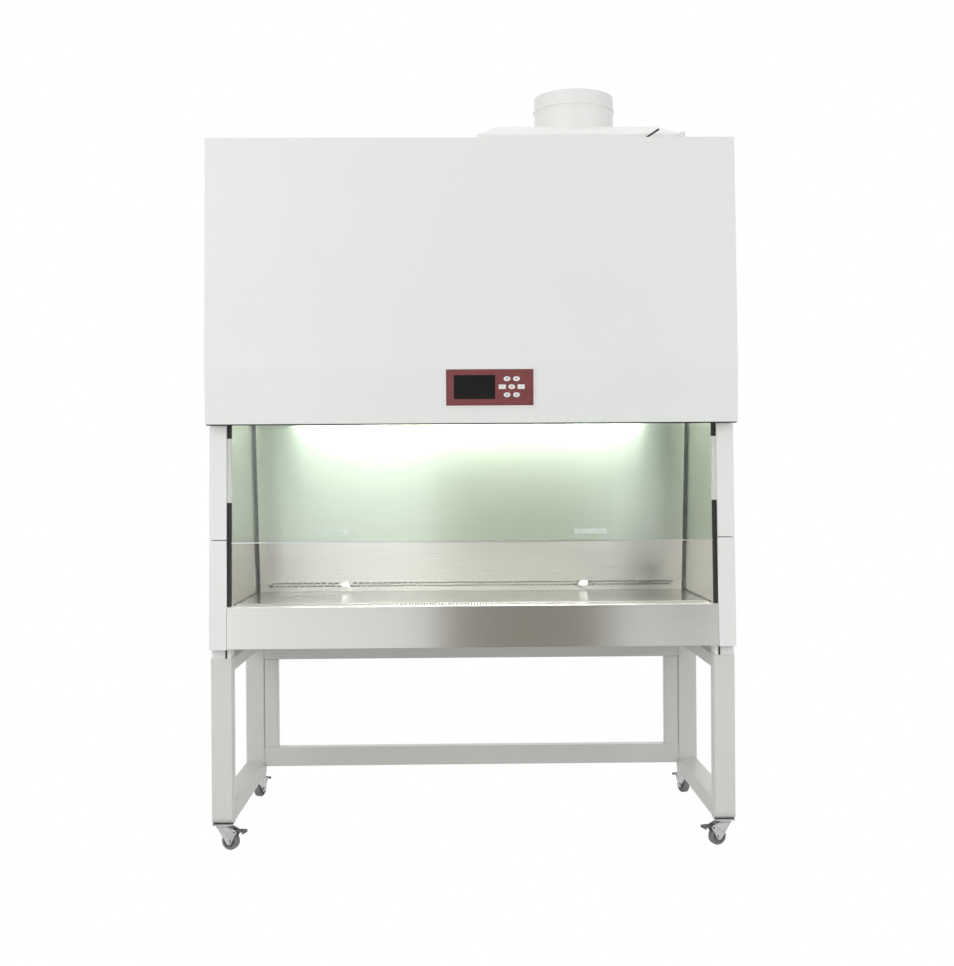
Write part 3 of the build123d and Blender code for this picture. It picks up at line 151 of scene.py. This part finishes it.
class Material:
    """A node material with a Principled shader and short ways to add to it."""

    def __init__(self, name, **sockets):
        self.data = bpy.data.materials.new(name)
        self.data.use_nodes = True
        self.nodes = self.data.node_tree.nodes
        self.links = self.data.node_tree.links
        self.shader = self.nodes["Principled BSDF"]
        self.output = self.nodes["Material Output"]
        for key, value in sockets.items():
            self.set(self.shader, key.replace("_", " "), value)

    def set(self, node, socket, value):
        slot = node.inputs[socket]
        if hasattr(slot.default_value, "__len__") and not hasattr(value, "__len__"):
            value = (value, value, value)
        if hasattr(slot.default_value, "__len__") and len(slot.default_value) == 4 and len(value) == 3:
            value = (*value, 1.0)
        slot.default_value = value

    def add(self, kind, **sockets):
        node = self.nodes.new(kind)
        for key, value in sockets.items():
            self.set(node, key.replace("_", " "), value)
        return node

    def join(self, source, target):
        self.links.new(source, target)

    def place(self, scale=(1, 1, 1)):
        """Object coordinates, stretched by scale."""
        coords = self.add("ShaderNodeTexCoord")
        mapping = self.add("ShaderNodeMapping")
        mapping.inputs["Scale"].default_value = scale
        self.join(coords.outputs["Object"], mapping.inputs["Vector"])
        return mapping.outputs["Vector"]

    def noise(self, scale, detail=3.0, stretch=(1, 1, 1), roughness=0.5):
        node = self.add("ShaderNodeTexNoise", Scale=scale, Detail=detail, Roughness=roughness)
        self.join(self.place(stretch), node.inputs["Vector"])
        return node.outputs["Fac"]

    def ramp(self, factor, low, high, ends=(0.0, 1.0)):
        """A colour that runs from low to high as factor goes between the two ends."""
        node = self.add("ShaderNodeValToRGB")
        for stop, position, colour in zip(node.color_ramp.elements, ends, (low, high)):
            stop.position = position
            stop.color = (*colour, 1.0)
        self.join(factor, node.inputs["Fac"])
        return node.outputs["Color"]

    def remap(self, factor, low, high):
        node = self.add("ShaderNodeMapRange", To_Min=low, To_Max=high)
        self.join(factor, node.inputs["Value"])
        return node.outputs["Result"]

    def bump(self, height, strength, distance):
        node = self.add("ShaderNodeBump", Strength=strength, Distance=distance)
        self.join(height, node.inputs["Height"])
        self.join(node.outputs["Normal"], self.shader.inputs["Normal"])

    def bands(self, axis, span, stops):
        """A colour that steps from one stop to the next along an axis, between two places."""
        low, high = span
        coords = self.add("ShaderNodeTexCoord")
        split = self.add("ShaderNodeSeparateXYZ")
        share = self.add("ShaderNodeMapRange", From_Min=low, From_Max=high)
        node = self.add("ShaderNodeValToRGB")
        node.color_ramp.interpolation = "CONSTANT"
        marks = node.color_ramp.elements
        while len(marks) < len(stops):
            marks.new(1.0)
        for mark, (place, colour) in zip(marks, stops):
            mark.position = (place - low) / (high - low)
            mark.color = (*colour, 1.0)
        self.join(coords.outputs["Object"], split.inputs["Vector"])
        self.join(split.outputs[axis], share.inputs["Value"])
        self.join(share.outputs["Result"], node.inputs["Fac"])
        return node.outputs["Color"]

    def colour(self, source):
        self.join(source, self.shader.inputs["Base Color"])

    def rough(self, source):
        self.join(source, self.shader.inputs["Roughness"])


def dim(colour, factor):
    return tuple(value * factor for value in colour)


def powder_coat(name, colour, roughness=0.42):
    """Satin powder coat: a faint orange peel and slight unevenness in tone."""
    mat = Material(name, Specular_IOR_Level=0.45)
    mat.colour(mat.ramp(mat.noise(3.0, 2.0), dim(colour, 0.985), colour, (0.3, 0.7)))
    mat.rough(mat.remap(mat.noise(40.0, 2.0), roughness - 0.05, roughness + 0.07))
    mat.bump(mat.noise(900.0, 2.0), 0.12, 0.0002)
    return mat


def brushed(name, colour, roughness, grain="X", smear="Z", anisotropy=0.9, strength=0.06):
    """Brushed sheet metal: fine lines along the grain, which smear reflections along another axis."""
    mat = Material(name, Metallic=1.0, Anisotropic=anisotropy)
    stretch = [LINES_ACROSS] * 3
    stretch["XYZ".index(grain)] = LINES_ALONG
    lines = mat.noise(1.0, 4.0, stretch, 0.65)
    mat.colour(mat.ramp(lines, dim(colour, 0.90), colour, (0.25, 0.75)))
    mat.rough(mat.remap(lines, roughness - 0.03, roughness + 0.05))
    mat.bump(lines, strength, 0.0001)
    tangent = mat.add("ShaderNodeCombineXYZ", **{smear: 1.0})
    mat.join(tangent.outputs["Vector"], mat.shader.inputs["Tangent"])
    return mat


def mottled(name, low, high, scale, roughness, metallic=0.0, strength=0.1):
    """A plain solid finish with a little mottling, such as plating or moulded rubber."""
    mat = Material(name, Metallic=metallic)
    spots = mat.noise(scale, 3.0)
    mat.colour(mat.ramp(spots, low, high, (0.3, 0.7)))
    mat.rough(mat.remap(spots, roughness - 0.06, roughness + 0.08))
    mat.bump(mat.noise(scale * 6, 2.0), strength, 0.0002)
    return mat


def tinted_glass():
    """The sash: clear toughened glass with a green body tint."""
    mat = Material("sash_glass_green")
    glossy = mat.add("ShaderNodeBsdfGlossy", Color=(1, 1, 1), Roughness=GLASS_ROUGHNESS)
    clear = mat.add("ShaderNodeBsdfTransparent", Color=GLASS_TINT)
    fresnel = mat.add("ShaderNodeFresnel", IOR=GLASS_IOR)
    mixed = mat.add("ShaderNodeMixShader")
    mat.join(fresnel.outputs["Fac"], mixed.inputs["Fac"])
    mat.join(clear.outputs["BSDF"], mixed.inputs[1])
    mat.join(glossy.outputs["BSDF"], mixed.inputs[2])
    mat.join(mixed.outputs["Shader"], mat.output.inputs["Surface"])
    return mat


def glow(name, colour, strength):
    """A lit lamp tube, a little uneven along its length."""
    mat = Material(name, Base_Color=(0.9, 0.9, 0.9), Roughness=0.3, Emission_Strength=strength)
    mat.join(mat.ramp(mat.noise(2.0, 1.0), dim(colour, 0.95), colour), mat.shader.inputs["Emission Color"])
    return mat


def banded(name, axis, span, stops, roughness):
    """A moulded piece in two colours, which change along an axis."""
    mat = Material(name)
    mat.colour(mat.bands(axis, span, stops))
    mat.rough(mat.remap(mat.noise(60.0, 2.0), roughness - 0.05, roughness + 0.08))
    mat.bump(mat.noise(500.0, 2.0), 0.1, 0.0002)
    return mat


def make_materials():
    """The material of each slot in the record, and those of single nodes that differ from their slot."""
    screen = ((0.006, 0.006, 0.007), (0.010, 0.010, 0.011))
    slots = {
        "white_paint": powder_coat("powder_coat_white", WHITE_PAINT),
        "stand_paint": powder_coat("powder_coat_grey", STAND_PAINT, 0.46),
        "stainless": brushed("stainless_brushed", STEEL, 0.30, "X", "Z", STRONG_SMEAR),
        "zinc": mottled("zinc_plate", (0.42, 0.42, 0.43), (0.60, 0.60, 0.61), 90.0, 0.32, 1.0),
        "galvanised": mottled("galvanised_sheet", (0.48, 0.50, 0.51), (0.62, 0.63, 0.64), 35.0, 0.42, 1.0),
        "wheel_rubber": mottled("grey_rubber", (0.17, 0.17, 0.175), (0.23, 0.23, 0.235), 60.0, 0.62),
        "brake_steel": mottled("dark_plating", (0.07, 0.07, 0.075), (0.13, 0.13, 0.135), 70.0, 0.40, 0.7),
        "seal_black": mottled("black_rubber", (0.010, 0.010, 0.010), (0.022, 0.022, 0.022), 80.0, 0.55),
        "panel_red": mottled("red_membrane", (0.185, 0.046, 0.047), (0.215, 0.055, 0.055), 45.0, 0.34),
        "screen_black": mottled("black_screen", *screen, 8.0, 0.12, 0.0, 0.02),
        "button_white": mottled("white_button", (0.78, 0.76, 0.75), (0.84, 0.83, 0.82), 50.0, 0.35),
        "board_green": mottled("solder_mask", (0.02, 0.12, 0.05), (0.04, 0.18, 0.08), 40.0, 0.45),
        "sash_glass": tinted_glass(),
        "handle_pale": mottled("pale_grip", (0.62, 0.71, 0.64), (0.72, 0.80, 0.74), 30.0, 0.25),
        "aluminium": brushed("mill_aluminium", (0.78, 0.79, 0.80), 0.34),
        "filter_media": mottled("filter_paper", (0.80, 0.79, 0.76), (0.88, 0.87, 0.84), 25.0, 0.85),
        "lamp_glass": glow("lamp_lit", LAMP_WHITE, LAMP_STRENGTH),
        "white_plastic": mottled("moulded_white", (0.77, 0.77, 0.76), (0.83, 0.83, 0.82), 50.0, 0.40),
    }
    guide_stops = ((GUIDE_SPAN[0], BLACK), (GUIDE_PALE_Z[0], GUIDE_PALE), (GUIDE_PALE_Z[1], BLACK))
    fitting_stops = ((FITTING_SPAN[0], BLACK), (PEG_X, GUIDE_PALE))
    nodes = {
        "sash_guides": banded("guide_two_tone", "Z", GUIDE_SPAN, guide_stops, 0.5),
        "roof_fittings": banded("roof_tube_and_pegs", "X", FITTING_SPAN, fitting_stops, 0.4),
        "chamber_side_walls": brushed("stainless_side", STEEL, 0.30, "Y"),
        "chamber_rear_wall": brushed("stainless_rear", STEEL, 0.28, "X", "Z", STRONG_SMEAR),
        "work_surface": brushed("stainless_polished", STEEL, 0.16, "X", "Y", WEAK_SMEAR, 0.02),
    }
    return slots, nodes


def dress(slots, nodes):
    """Gives every carried-over node the material of its slot, or one of its own."""
    for row in frame["record"]["subparts"]:
        node = frame["nodes"][row["node"]]
        mat = nodes.get(row["node"], slots[row["material_slot"]])
        node.data.materials.clear()
        node.data.materials.append(mat.data)


def room_band(tree, turn, low, high, shade):
    """How dark one dark upright thing in the room makes the light that metal mirrors, by direction."""
    band = tree.nodes.new("ShaderNodeValToRGB")
    stops = band.color_ramp.elements
    stops[0].position = low
    stops[0].color = (1, 1, 1, 1)
    stops[1].position = high
    stops[1].color = (1, 1, 1, 1)
    for position in ((2 * low + high) / 3, (low + 2 * high) / 3):
        stop = stops.new(position)
        stop.color = (shade, shade, shade, 1)
    band.color_ramp.interpolation = "B_SPLINE"
    tree.links.new(turn, band.inputs["Fac"])
    return band.outputs["Color"]


def new_sheet(name, finish, corners, faces):
    """A flat sheet of the studio with an empty material. Returns it and the material's node tree."""
    mesh = bpy.data.meshes.new(name)
    mesh.from_pydata(corners, [], faces)
    sheet = bpy.data.objects.new(name, mesh)
    bpy.context.scene.collection.objects.link(sheet)
    mat = bpy.data.materials.new(finish)
    mat.use_nodes = True
    mat.node_tree.nodes.clear()
    mesh.materials.append(mat)
    return sheet, mat.node_tree


def make_flags():
    """Dark cards that only reflections see, as a photographer sets up to give steel its contrast."""
    for name, across, up, near, shade in FLAGS:
        corners = [(across[0], FLAG_Y, up[0]), (across[1], FLAG_Y, up[0])]
        corners += [(across[1], FLAG_Y, up[1]), (across[0], FLAG_Y, up[1])]
        faces = [(0, 1, 2, 3)]
        if near:
            corners += [(near[0], FLAG_END_Y, up[0]), (near[1], FLAG_END_Y, up[0])]
            faces.append((0, 1, 5, 4))
        card, tree = new_sheet(name, name, corners, faces)
        dark = tree.nodes.new("ShaderNodeEmission")
        dark.inputs["Color"].default_value = (*shade, 1.0)
        out = tree.nodes.new("ShaderNodeOutputMaterial")
        tree.links.new(dark.outputs["Emission"], out.inputs["Surface"])
        card.visible_camera = False
        card.visible_diffuse = False
        card.visible_shadow = False
        card.visible_transmission = False


def studio():
    """White surroundings for the camera, soft light, and dark upright things for metal to mirror."""
    world = bpy.data.worlds.new("studio_world")
    bpy.context.scene.world = world
    world.use_nodes = True
    # Not sampled as a lamp, because light sampled that way loses what kind of ray it answers
    world.cycles.sampling_method = "NONE"
    tree = world.node_tree
    tree.nodes.clear()
    path = tree.nodes.new("ShaderNodeLightPath")
    coords = tree.nodes.new("ShaderNodeTexCoord")
    split = tree.nodes.new("ShaderNodeSeparateXYZ")
    tree.links.new(coords.outputs["Generated"], split.inputs["Vector"])
    turn = tree.nodes.new("ShaderNodeMath")
    turn.operation = "ARCTAN2"
    flip = tree.nodes.new("ShaderNodeMath")
    flip.operation = "MULTIPLY"
    flip.inputs[1].default_value = -1.0
    tree.links.new(split.outputs["Y"], flip.inputs[0])
    tree.links.new(split.outputs["X"], turn.inputs[0])
    tree.links.new(flip.outputs["Value"], turn.inputs[1])
    share = tree.nodes.new("ShaderNodeMapRange")
    share.inputs["From Min"].default_value = math.radians(-ROOM_SWEEP_DEG)
    share.inputs["From Max"].default_value = math.radians(ROOM_SWEEP_DEG)
    tree.links.new(turn.outputs["Value"], share.inputs["Value"])
    mirrored = None
    for low, high, shade in ROOM_DARK:
        ends = [(value + ROOM_SWEEP_DEG) / (2 * ROOM_SWEEP_DEG) for value in (low, high)]
        band = room_band(tree, share.outputs["Result"], *ends, shade)
        if mirrored is None:
            mirrored = band
        else:
            both = tree.nodes.new("ShaderNodeMix")
            both.data_type = "RGBA"
            both.blend_type = "MULTIPLY"
            both.inputs["Factor"].default_value = 1.0
            tree.links.new(mirrored, both.inputs["A"])
            tree.links.new(band, both.inputs["B"])
            mirrored = both.outputs["Result"]

    def background(strength, colour=None):
        node = tree.nodes.new("ShaderNodeBackground")
        node.inputs["Color"].default_value = (1, 1, 1, 1)
        node.inputs["Strength"].default_value = strength
        if colour is not None:
            tree.links.new(colour, node.inputs["Color"])
        return node.outputs["Background"]

    def either(test, without, within):
        node = tree.nodes.new("ShaderNodeMixShader")
        tree.links.new(path.outputs[test], node.inputs["Fac"])
        tree.links.new(without, node.inputs[1])
        tree.links.new(within, node.inputs[2])
        return node.outputs["Shader"]

    soft = either("Is Glossy Ray", background(WORLD_LIGHT), background(1.0, mirrored))
    soft = either("Is Transmission Ray", soft, background(1.0))
    out = tree.nodes.new("ShaderNodeOutputWorld")
    tree.links.new(either("Is Camera Ray", soft, background(1.0)), out.inputs["Surface"])


def make_lamps():
    for name, place, size, power in LAMPS:
        data = bpy.data.lights.new(name, "AREA")
        data.shape = "RECTANGLE"
        data.size, data.size_y = size
        data.energy = power
        lamp = bpy.data.objects.new(name, data)
        lamp.location = place
        aim = Vector((0, 0, LAMP_AIM_Z)) - Vector(place)
        lamp.rotation_euler = aim.to_track_quat("-Z", "Y").to_euler()
        bpy.context.scene.collection.objects.link(lamp)


def make_floor():
    """A pale floor that gives the object grey bounce light, and looks white itself and in reflections."""
    corners = [(FLOOR_HALF * x, FLOOR_HALF * y, 0) for x, y in ((-1, -1), (1, -1), (1, 1), (-1, 1))]
    floor, tree = new_sheet("studio_floor", "floor_white", corners, [(0, 1, 2, 3)])
    path = tree.nodes.new("ShaderNodeLightPath")
    seen = tree.nodes.new("ShaderNodeMath")
    seen.operation = "MAXIMUM"
    tree.links.new(path.outputs["Is Camera Ray"], seen.inputs[0])
    tree.links.new(path.outputs["Is Glossy Ray"], seen.inputs[1])
    white = tree.nodes.new("ShaderNodeEmission")
    white.inputs["Strength"].default_value = 1.0
    matt = tree.nodes.new("ShaderNodeBsdfDiffuse")
    matt.inputs["Color"].default_value = (FLOOR_GREY, FLOOR_GREY, FLOOR_GREY, 1)
    mix = tree.nodes.new("ShaderNodeMixShader")
    out = tree.nodes.new("ShaderNodeOutputMaterial")
    tree.links.new(seen.outputs["Value"], mix.inputs["Fac"])
    tree.links.new(matt.outputs["BSDF"], mix.inputs[1])
    tree.links.new(white.outputs["Emission"], mix.inputs[2])
    tree.links.new(mix.outputs["Shader"], out.inputs["Surface"])


def prism(form, corners, along):
    """Adds a closed solid: a flat loop of corners carried along a vector."""
    near = [form.verts.new(corner) for corner in corners]
    far = [form.verts.new(Vector(corner) + Vector(along)) for corner in corners]
    form.faces.new(near[::-1])
    form.faces.new(far)
    for index, corner in enumerate(near):
        after = (index + 1) % len(near)
        form.faces.new((corner, near[after], far[after], far[index]))


def new_piece(name, form, material, body="cabinet", bevel=STRIP_EDGE):
    """Turns a form into a piece with eased edges that rides on a body."""
    bmesh.ops.recalc_face_normals(form, faces=form.faces)
    mesh = bpy.data.meshes.new(name)
    form.to_mesh(mesh)
    form.free()
    mesh.materials.append(material.data)
    piece = bpy.data.objects.new(name, mesh)
    bpy.context.scene.collection.objects.link(piece)
    edge = piece.modifiers.new("edge", "BEVEL")
    edge.width = bevel
    edge.segments = 2
    edge.limit_method = "ANGLE"
    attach(piece, body)


def make_lip_shade(slots):
    """A black strip under the hood's front lip: painted shade, standing for the shadow in the gap below
    the lip.
    """
    (y_front, y_back), (z_low, z_high) = LIP_SHADE
    section = ((y_front, z_low), (y_back, z_low), (y_back, z_high), (y_front, z_high))
    form = bmesh.new()
    prism(form, [(-LIP_SHADE_HALF, y, z) for y, z in section], (2 * LIP_SHADE_HALF, 0, 0))
    new_piece("hood_lip_shade", form, slots["seal_black"])


def make_side_shades(slots):
    """On both sides, painted shade: dark strips up the chamber's rear corners, black wedges along its
    floor, black L-pieces in the gaps on the stand.
    """
    corners = bmesh.new()
    shade_strips = bmesh.new()
    gap_shades = bmesh.new()
    rise = CHAMBER_TOP_Z - WORK_Z
    front = REAR_Y - CORNER_SHADE_DEPTH
    floor_shade_front, floor_shade_back = FLOOR_SHADE_Y
    floor_shade_top = WORK_Z + FLOOR_SHADE
    gap_shade_low, gap_shade_top = GAP_SHADE_Z
    under = gap_shade_top - GAP_SHADE_SHEET
    for side in (-1, 1):
        # Dark strip up the rear corner: painted shade where the side and rear walls meet
        outer = side * CHAMBER_HALF
        inner = side * (CHAMBER_HALF - CORNER_SHADE_WIDTH)
        section = ((inner, front), (outer, front), (outer, REAR_Y), (inner, REAR_Y))
        prism(corners, [(x, y, WORK_Z) for x, y in section], (0, REAR_LEAN * rise, rise))

        # Black wedge along the floor's edge: painted shade in the crease where the floor meets the side
        # wall
        inner = side * (CHAMBER_HALF - FLOOR_SHADE)
        section = ((outer, WORK_Z), (inner, WORK_Z), (outer, floor_shade_top))
        prism(shade_strips, [(x, floor_shade_front, z) for x, z in section], (0, floor_shade_back - floor_shade_front, 0))

        # Black L-piece at the stand's top corner: painted shade in the gap beside the corner block
        wide, narrow = side * GAP_SHADE_X[0], side * GAP_SHADE_X[1]
        inward = side * (GAP_SHADE_X[1] + GAP_SHADE_THICK)
        section = ((wide, gap_shade_top), (narrow, gap_shade_top), (narrow, gap_shade_low))
        section += ((inward, gap_shade_low), (inward, under), (wide, under))
        prism(gap_shades, [(x, GAP_SHADE_Y[0], z) for x, z in section], (0, GAP_SHADE_Y[1] - GAP_SHADE_Y[0], 0))
    new_piece("chamber_corner_shade_strips", corners, slots["brake_steel"])
    new_piece("chamber_floor_shade_strips", shade_strips, slots["seal_black"], bevel=FLOOR_SHADE_EDGE)
    new_piece("stand_gap_shades", gap_shades, slots["seal_black"])


def make_glass_glint(slots):
    """A bright strip along the glass's bottom edge, which moves with the sash: a painted highlight,
    standing for the light the polished edge catches.
    """
    low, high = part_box("sash_glass")
    bottom, top = GLASS_GLINT_Z
    glass_y = FRONT_Y + (bottom - FRONT_Z) * FRONT_LEAN
    front = glass_y + GLASS_BEHIND - GLASS_GLINT_PROUD
    back = glass_y + GLASS_BEHIND + GLASS_THICK + GLASS_GLINT_PROUD
    lean = (top - bottom) * FRONT_LEAN
    section = ((front, bottom), (back, bottom), (back + lean, top), (front + lean, top))
    form = bmesh.new()
    prism(form, [(low[0], y, z) for y, z in section], (high[0] - low[0], 0, 0))
    new_piece("glass_edge_glint", form, slots["aluminium"], "sash", GLASS_GLINT_EDGE)


def make_marks(slots):
    """A small plain mark on each button: arrows on the two square ones, dots on the rest."""
    turns = {"button_up": (3, 90), "button_down": (3, -90)}
    for name in ("power", "lamp", "set", "uv", "fan", "up", "down"):
        node = "button_" + name
        low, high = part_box(node)
        sides, start = turns.get(node, (ROUND_SIDES, 0))
        loop = []
        for index in range(sides):
            angle = math.radians(start + 360 / sides * index)
            x = (low[0] + high[0]) / 2 + MARK_R * math.cos(angle)
            z = (low[2] + high[2]) / 2 + MARK_R * math.sin(angle)
            loop.append((x, low[1] + (high[2] - z) * BUTTON_LEAN - MARK_PROUD, z))
        form = bmesh.new()
        prism(form, loop, (0, MARK_DEPTH, 0))
        new_piece("mark_" + name, form, slots["brake_steel"], node, MARK_EDGE)


def make_camera():
    data = bpy.data.cameras.new("photo_camera")
    data.sensor_width = SENSOR
    data.lens = FOCAL_PX * SENSOR / max(IMAGE)
    camera = bpy.data.objects.new("photo_camera", data)
    camera.location = CAMERA_AT
    level = Matrix.Rotation(math.radians(90), 4, "X")
    yaw = Matrix.Rotation(math.radians(-CAMERA_YAW_DEG), 4, "Z")
    roll = Matrix.Rotation(math.radians(-CAMERA_ROLL_DEG), 4, "Z")
    camera.rotation_euler = (yaw @ level @ roll).to_euler()
    bpy.context.scene.collection.objects.link(camera)
    bpy.context.scene.camera = camera


def main():
    bpy.context.scene.view_settings.view_transform = "Standard"
    make_camera()
    studio()
    make_lamps()
    make_floor()
    make_flags()
    slots, nodes = make_materials()
    dress(slots, nodes)
    make_lip_shade(slots)
    make_side_shades(slots)
    make_glass_glint(slots)
    make_marks(slots)


main()
